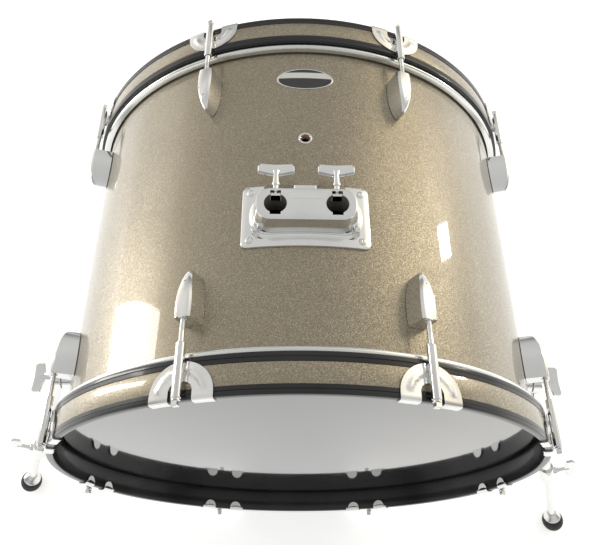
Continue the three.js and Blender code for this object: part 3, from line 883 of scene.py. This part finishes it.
plate = piece("tom_plate", *curved_plate(), chrome, smooth=35)
settle(plate, "shell", "chrome", "tom_bracket")
levels = []
for a in (0, 15, 30, 45, 60, 75, 90):
    spread = FLARE_OUT * (1 - math.sin(math.radians(a))) + DRAFT
    rise = PLATE_THICK - 0.4 + FLARE_UP * (1 - math.cos(math.radians(a)))
    line = rounded(BLOCK_HALF[0] + spread, BLOCK_HALF[1] + spread, 15 + spread)
    levels.append((line, on_shell(rise)))
levels.append((rounded(BLOCK_HALF[0], BLOCK_HALF[1], 15), BLOCK_TOP - 1.6))
levels.append((rounded(BLOCK_HALF[0] - 0.3, BLOCK_HALF[1] - 0.3, 14.7), BLOCK_TOP - 0.7))
levels.append((rounded(BLOCK_HALF[0] - 1.0, BLOCK_HALF[1] - 1.0, 14), BLOCK_TOP - 0.15))
levels.append((rounded(BLOCK_HALF[0] - 1.8, BLOCK_HALF[1] - 1.8, 13.2), BLOCK_TOP))
block = piece("tom_block", *stacked(levels), chrome, smooth=35)


def brick(low, high):
    corners = [(x, y, z) for x in (low[0], high[0]) for y in (low[1], high[1]) for z in (low[2], high[2])]
    verts = [tuple(c * MM for c in corner) for corner in corners]
    return verts, [(0, 1, 3, 2), (4, 6, 7, 5), (0, 4, 5, 1), (2, 3, 7, 6), (0, 2, 6, 4), (1, 5, 7, 3)]


cutters = [piece("panel", *brick((-15.5, -51.9, BLOCK_TOP - 0.5), (17, -36.6, 330)))]
for x in (-SOCKET_X / MM, SOCKET_X / MM):
    cutters.append(piece("well", *bore((x * MM, SOCKET_Y, DRILL_START), (0, 0, 1), SOCKET_RADIUS / MM, 80)))
    cutters.append(piece("key", *brick((x - KEY_HALF, -55.5, 250), (x + KEY_HALF, BRACKET_Y, 330))))
    slot = brick((x - KEY_HALF, BRACKET_Y, TOM_SCREW_Z - 6), (x + KEY_HALF, -27.5, 330))
    cutters.append(piece("slot", *slot))
    cutters.append(piece("screw_way", *bore((x * MM, -35 * MM, TOM_SCREW_Z * MM), (0, 1, 0), 3.3, 40)))
cut(block, *cutters)
# Painted shade: the walls of the two sockets, their key ways and slots take a plain darker colour in place
# of chrome, standing for the shade inside them.
dark_bore = enamel("dark_bore", (0.30, 0.28, 0.24))
block.data.materials.append(dark_bore)
for face in block.data.polygons:
    out = face.center - AXIS
    across = min(math.hypot(out.x - x, out.y - SOCKET_Y) for x in (-SOCKET_X, SOCKET_X))
    # Faces that get the painted shade: walls near the socket centres.
    face.material_index = 1 if across < 14 * MM and abs(face.normal.z) < 0.5 else 0
soften(block.data, 30)
settle(block, "shell", "chrome")

shoes = []
for x in (-SOCKET_X / MM, SOCKET_X / MM):
    low = (x - KEY_HALF + 0.3, -33.4, TOM_SCREW_Z - 5)
    shoes.append(brick(low, (x + KEY_HALF - 0.3, -30.6, BLOCK_TOP - 0.4)))
shoe = piece("tom_shoes", *joined(*shoes), chrome, smooth=30)
shaped = shoe.modifiers.new("edge", "BEVEL")
shaped.width, shaped.segments = 0.4 * MM, 2
cut(shoe)
settle(shoe, "shell", "chrome")
# Painted shade: a thin tube of the same darker colour lines each hole drilled in the shell, standing for the
# shade down in the hole.
shade_sheets = []
for x in (-SOCKET_X / MM, SOCKET_X / MM):
    tube = [(13.3, 0), (13.3, 12), (13.0, 12), (13.0, 0), (13.3, 0)]
    shade_sheets.append(lathe((x * MM, SOCKET_Y, 0.2685), (0, 0, 1), tube))
shade_sheet = piece("socket_shade_sheets", *joined(*shade_sheets), dark_bore, smooth=30)
settle(shade_sheet, "shell", "chrome")


def pan_screw(place, direction, radius):
    """A domed screw head with a small recess."""
    dome = [(radius, -0.6), (radius, 0.5), (radius * 0.92, 1.1), (radius * 0.7, 1.6), (radius * 0.42, 1.8)]
    dome += [(radius * 0.30, 1.3), (0, 1.1)]
    return lathe(place, direction, dome, 24)


heads = []
for sx in (-1, 1):
    for sy in (-1, 1):
        x, y = sx * CORNER[0], BRACKET_Y + sy * CORNER[1]
        out = Vector((x, 0, on_shell(PLATE_THICK)(x))) * MM
        heads.append(pan_screw(out + Vector((0, y * MM, 0)), out, 4.0))
    x, y = sx * 51.5, BRACKET_Y - 19.5
    post = [(3.4, 0), (3.3, 7.6), (2.9, 8.4), (1.6, 8.6), (1.2, 8.0), (0, 8.0)]
    heads.append(lathe((x * MM, y * MM, on_shell(PLATE_THICK)(x) * MM), (0, 0, 1), post, 24))
screws = piece("tom_plate_screws", *joined(*heads), chrome, smooth=35)
settle(screws, "shell", "chrome")


def wing(neck, neck_radius, blade, half_span, thick, shank, shank_radius):
    """A wing screw along +Y: shank, collar, neck and a flat six cornered blade, in millimetres."""
    stem = [(0, -shank), (shank_radius * 0.8, -shank), (shank_radius, -shank + 0.7), (shank_radius, 0)]
    stem += [(neck_radius, 0), (neck_radius, 2.6), (neck_radius * 0.78, 3.2), (neck_radius * 0.74, neck - 1)]
    stem += [(neck_radius * 0.9, neck + blade * 0.35), (0, neck + blade * 0.5)]
    body = lathe((0, 0, 0), (0, 1, 0), stem, 24)
    line = [(half_span, neck + blade * 0.22), (half_span, neck + blade * 0.80)]
    line += [(half_span - 2.2, neck + blade), (2.5, neck + blade * 0.93), (-2.5, neck + blade * 0.93), (-half_span + 2.2, neck + blade)]
    line += [(-half_span, neck + blade * 0.80), (-half_span, neck + blade * 0.22)]
    line += [(-neck_radius - 1.5, neck - 0.4), (neck_radius + 1.5, neck - 0.4)]
    middle = neck + blade / 2
    verts, faces = [], []
    for z, inset in ((-1, 0.9), (-0.45, 0.0), (0.45, 0.0), (1, 0.9)):
        for x, y in line:
            px = x - math.copysign(min(inset, abs(x)), x)
            py = y - math.copysign(min(inset, abs(y - middle)), y - middle)
            verts.append((px * MM, py * MM, z * thick / 2 * MM))
    count = len(line)
    for k in range(3):
        for i in range(count):
            j, a, b = (i + 1) % count, k * count, (k + 1) * count
            faces.append((a + i, a + j, b + j, b + i))
    faces += [tuple(range(count)), tuple(range(3 * count, 4 * count))]
    return joined(body, (verts, faces))


def placed(part, origin, along, across):
    """A part made along +Y moved to an origin, its +Y turned to one direction and X to another."""
    y = Vector(along).normalized()
    x = (Vector(across) - y * Vector(across).dot(y)).normalized()
    frame_of = Matrix((x, y, x.cross(y))).transposed()
    return [frame_of @ Vector(v) + Vector(origin) for v in part[0]], part[1]


for side, word in ((-1, "left"), (1, "right")):
    screw = wing(13, 4.3, 13.4, 18.9, 4.6, 12, 3.0)
    start = Vector((side * SOCKET_X, -18.5 * MM, TOM_SCREW_Z * MM))
    screw = piece(f"tom_screw_{word}_wing", *placed(screw, start, (0, 1, 0), (1, 0, 0)), chrome, smooth=30)
    settle(screw, f"tom_screw_{word}", "chrome", f"tom_wing_screw_{word}")

# ---------------------------------------------------------------------------------------------
# Spurs. Steel tube on a cast bracket at each flank, chromed. A wing bolt locks the fold, another
# grips the inner leg in its collar, and the leg ends in a cup with a rubber ball.

SPUR_Y = -114.0
SPUR_Z = -16.0
PIVOT_X = 312.0
FOOT_RADIUS = 15.5
TUBE_LENGTH = 200.0
SPURS = ((-1, "left", 19.4, 16.2), (1, "right", 16.2, 26.3))
floor_z = (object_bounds()[0][2] - AXIS.z) / MM


def flank(part, side):
    """A part made upright at the crown laid over to the flank at the spur."""
    turn = Matrix.Rotation(side * math.pi / 2, 3, "Y")
    return [turn @ Vector(v) + Vector((0, SPUR_Y * MM, SPUR_Z * MM)) for v in part[0]], part[1]


for side, word, splay, fold in SPURS:
    s, f = math.radians(splay), math.radians(fold)
    down = Vector((side * math.sin(s), -math.cos(s) * math.sin(f), -math.cos(s) * math.cos(f)))
    pivot = Vector((side * PIVOT_X, SPUR_Y, SPUR_Z)) * MM
    reach = (-floor_z + SPUR_Z - FOOT_RADIUS) / -down.z
    outward = Vector((side, 0, 0))
    outward = (outward - down * outward.dot(down)).normalized()

    base = []
    for half, radius, lift in ((18.8, 6, 0.4), (18.8, 6, 2.6), (18.3, 5.5, 3.3), (17.0, 4.5, 3.8)):
        line = [(x, y - BRACKET_Y) for x, y in rounded(half, half + 5, radius)]
        base.append((line, lambda y, lift=lift: 279.7 + lift))
    saddle = stacked(base)
    bent = []
    for x, y, z in saddle[0]:
        level = SPUR_Z * MM - side * x
        bent.append((x, y, z - SHELL_RADIUS + math.sqrt(SHELL_RADIUS ** 2 - level ** 2)))
    boss = [(16.5, 279.0), (16.5, 283.2), (15.2, 285.2), (14.8, 288), (14.8, 304.6), (14.0, 305.5)]
    boss += [(6.0, 305.6), (3.4, 305.6), (3.4, 279.0), (16.5, 279.0)]
    seat = joined((bent, saddle[1]), lathe((0, 0, 0), (0, 0, 1), boss, 48))
    for sy in (-1, 1):
        seat = joined(seat, pan_screw((0, sy * 19.3 * MM, 0.2830), (0, 0, 1), 3.4))
    bracket = piece(f"spur_seat_{word}", *flank(seat, side), chrome, smooth=32)
    settle(bracket, "shell", "chrome", f"spur_bracket_{word}")

    hub = [(3.4, -5.8), (13.8, -5.8), (14.7, -5.0), (14.8, 4.6)]
    hub += [(13.9, 5.8), (6.2, 5.9), (3.4, 5.9), (3.4, -5.8)]
    hub = lathe(pivot, (side, 0, 0), hub, 48)
    tube = [(5.4, 27), (5.4, TUBE_LENGTH - 0.3), (10.3, TUBE_LENGTH - 0.2)]
    tube += [(10.9, TUBE_LENGTH - 1), (10.9, TUBE_LENGTH - 23), (10.3, TUBE_LENGTH - 23.9)]
    tube += [(7.9, TUBE_LENGTH - 24), (7.9, 14), (6.5, 12.4), (0, 12.4), (0, 27), (5.4, 27)]
    tube = lathe(pivot, down, tube, 40)
    bolt_at = TUBE_LENGTH - 12
    boss = [(2.9, 6.0), (5.9, 6.0), (5.9, 14.3), (5.3, 14.9), (2.9, 14.9), (2.9, 6.0)]
    boss = lathe(pivot + down * bolt_at * MM, outward, boss, 28)
    tube = piece(f"spur_outer_{word}", *joined(hub, tube, boss), chrome, smooth=35)
    settle(tube, f"spur_{word}", "chrome", f"spur_tube_{word}")

    cup = reach - 19
    leg = [(0, 75.2), (4.2, 75.2), (4.95, 76), (4.95, cup), (6.2, cup + 0.2), (8.5, cup + 2.5)]
    leg += [(11.2, cup + 7.2), (12.3, cup + 8.2), (12.4, cup + 8.8), (11.8, cup + 9)]
    leg += [(4.95, cup + 9), (4.95, reach + 1.6), (0, reach + 1.8)]
    leg = piece(f"spur_inner_{word}", *lathe(pivot, down, leg, 40), chrome, smooth=35)
    settle(leg, f"spur_leg_{word}", "chrome", f"spur_leg_{word}")

    ball = [(5.35, reach - 9.6), (11.6, reach - 9.7)]
    for a in range(-36, 91, 6):
        turn = math.radians(a)
        ball.append(((FOOT_RADIUS - 0.1) * math.cos(turn), reach + (FOOT_RADIUS - 0.1) * math.sin(turn)))
    ball += [(0, reach + 2.2), (5.35, reach + 2.2), (5.35, reach - 9.6)]
    foot = piece(f"spur_rubber_{word}", *lathe(pivot, down, ball, 48), soft_rubber, smooth=40)
    settle(foot, f"spur_foot_{word}", "rubber", f"spur_foot_{word}")

    bolt = wing(12, 5.0, 14.8, 19.3, 4.8, 21.8, 3.0)
    start = pivot + Vector((side * 6.3 * MM, 0, 0))
    bolt = placed(bolt, start, (side, 0, 0), (0, 1, 0))
    bolt = piece(f"spur_fold_{word}_wing", *bolt, chrome, smooth=30)
    settle(bolt, f"spur_fold_bolt_{word}", "chrome", f"spur_fold_bolt_{word}")

    grip = wing(11, 4.0, 15.8, 14.8, 4.3, 8.8, 2.5)
    grip = placed(grip, pivot + (down * bolt_at + outward * 15.3) * MM, outward, down)
    grip = piece(f"spur_grip_{word}_wing", *grip, chrome, smooth=30)
    settle(grip, f"spur_leg_bolt_{word}", "chrome", f"spur_leg_bolt_{word}")

# ---------------------------------------------------------------------------------------------
# Studio. A plain white floor under the hoops, a soft light on the left, a small window on the
# right, and a pale surround with soft glows and a darker band for the chrome to reflect.

FLOOR_SIZE = 14.0
floor_mesh = bpy.data.meshes.new("floor")
corner = FLOOR_SIZE / 2
floor_points = [(-corner, -corner, 0), (corner, -corner, 0), (corner, corner, 0), (-corner, corner, 0)]
floor_mesh.from_pydata(floor_points, [], [(0, 1, 2, 3)])
floor = bpy.data.objects.new("floor", floor_mesh)
bpy.context.scene.collection.objects.link(floor)
paper = Finish("paper", Emission_Color=(1.0, 1.0, 0.995, 1.0), Emission_Strength=0.6)
tooth = paper.noise(30.0, 3.0)
paper_colour = paper.ramp(tooth, (0.3, (0.86, 0.86, 0.855)), (0.7, (0.88, 0.88, 0.875)))
floor_mesh.materials.append(paper.shade(Base_Color=paper_colour, Roughness=tooth * 0.05 + 0.9))

world = bpy.data.worlds.new("surround")
bpy.context.scene.world = world
world.use_nodes = True
surround = Nodes(world.node_tree)
look = surround.node("ShaderNodeTexCoord", out="Generated")
height = surround.node("ShaderNodeSeparateXYZ", None, {0: look}, 2) * 0.5 + 0.5
bands = ((0.50, 0.86), (0.60, 0.84), (0.66, 0.34), (0.72, 0.30), (0.80, 0.60), (0.90, 0.66), (1.0, 0.56))
stops = [(place, (grey, grey, grey * 0.985)) for place, grey in bands]
shade = surround.node("ShaderNodeValToRGB", {"stops": stops}, {0: height})
GLOWS = ((-120, 14, 14.0, (0.75, 0.70, 0.62)), (124, 26, 24.0, (2.0, 1.75, 1.25)), (94, 6, 9.0, (-0.6,) * 3))
for azimuth, elevation, tight, tint in GLOWS:
    a, e = math.radians(azimuth), math.radians(elevation)
    toward = (math.sin(a) * math.cos(e), -math.cos(a) * math.cos(e), math.sin(e))
    dot = {"operation": "DOT_PRODUCT"}
    facing = surround.node("ShaderNodeVectorMath", dot, {0: look, 1: toward}, "Value")
    glow = facing.math("MAXIMUM", facing, 0.0) ** tight
    kind = {"data_type": "RGBA", "blend_type": "ADD"}
    shade = surround.node("ShaderNodeMix", kind, {0: glow, 6: shade, 7: (*tint, 1.0)}, out=2)
sky = world.node_tree.nodes["Background"]
surround.feed(sky.inputs["Color"], shade)


def soft_light(name, azimuth, elevation, distance, width, height, power, tint):
    """A flat light that faces the drum from a direction given in degrees."""
    lamp = bpy.data.lights.new(name, "AREA")
    lamp.shape, lamp.size, lamp.size_y = "RECTANGLE", width, height
    lamp.energy, lamp.color = power, tint
    stand = bpy.data.objects.new(name, lamp)
    bpy.context.scene.collection.objects.link(stand)
    a, e = math.radians(azimuth), math.radians(elevation)
    back = Vector((math.sin(a) * math.cos(e), -math.cos(a) * math.cos(e), math.sin(e)))
    stand.rotation_euler = (-back).to_track_quat("-Z", "Y").to_euler()
    stand.location = AXIS + back * distance


soft_light("left_soft_light", -106, 6, 2.2, 0.27, 1.2, 9.5, (1.0, 0.98, 0.95))
soft_light("right_window", 117, 13, 3.0, 0.17, 0.34, 6, (1.0, 0.95, 0.86))

# ---------------------------------------------------------------------------------------------
# Camera. High in front of the front head, looking down on the crown of the drum.

CAMERA_PLACE = Vector((-22.64, -421.23, 896.39)) * MM
CAMERA_TURN = (32.791, -1.516, -0.052)
FOCAL = 710.77 / 600
CENTRE_SHIFT = (0.0, -0.1208)
lens = bpy.data.cameras.new("camera")
lens.sensor_width = 36.0
lens.lens = FOCAL * lens.sensor_width
lens.shift_x, lens.shift_y = CENTRE_SHIFT
lens.clip_start, lens.clip_end = 0.05, 60.0
camera = bpy.data.objects.new("camera", lens)
bpy.context.scene.collection.objects.link(camera)
camera.location = AXIS + CAMERA_PLACE
camera.rotation_euler = [math.radians(a) for a in CAMERA_TURN]
bpy.context.scene.camera = camera
bpy.context.scene.view_settings.view_transform = "Standard"
